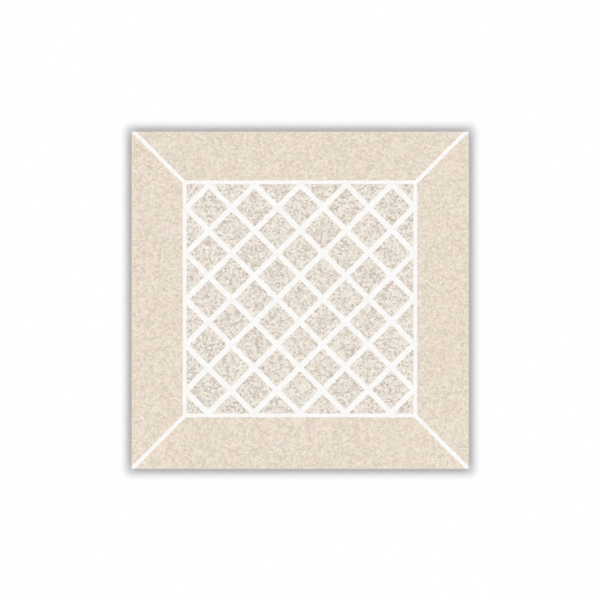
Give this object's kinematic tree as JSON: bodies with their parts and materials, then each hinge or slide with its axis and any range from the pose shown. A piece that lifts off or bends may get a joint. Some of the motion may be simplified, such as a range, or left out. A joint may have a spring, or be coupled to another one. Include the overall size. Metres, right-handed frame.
{
  "type": "red body ceramic floor tile",
  "caption": "Square pressed red-clay floor tile: flat satin-glazed face printed in speckled beige with a white-lined diamond lattice and mitred border, keyed back for adhesive.",
  "frame": {"origin": "centre of the back, in the plane of its ribs, on which the tile lies", "axes": "+Z out of the glazed face, +X and +Y along the sides, +Y towards the top of the picture"},
  "size_m": [0.3, 0.3, 0.008],
  "materials": {
    "tile": "satin speckled beige glaze with white lines on the face, bare fired red clay on the sides and back"
  },
  "bodies": {
    "root": {"tile": "tile"}
  },
  "joints": []
}
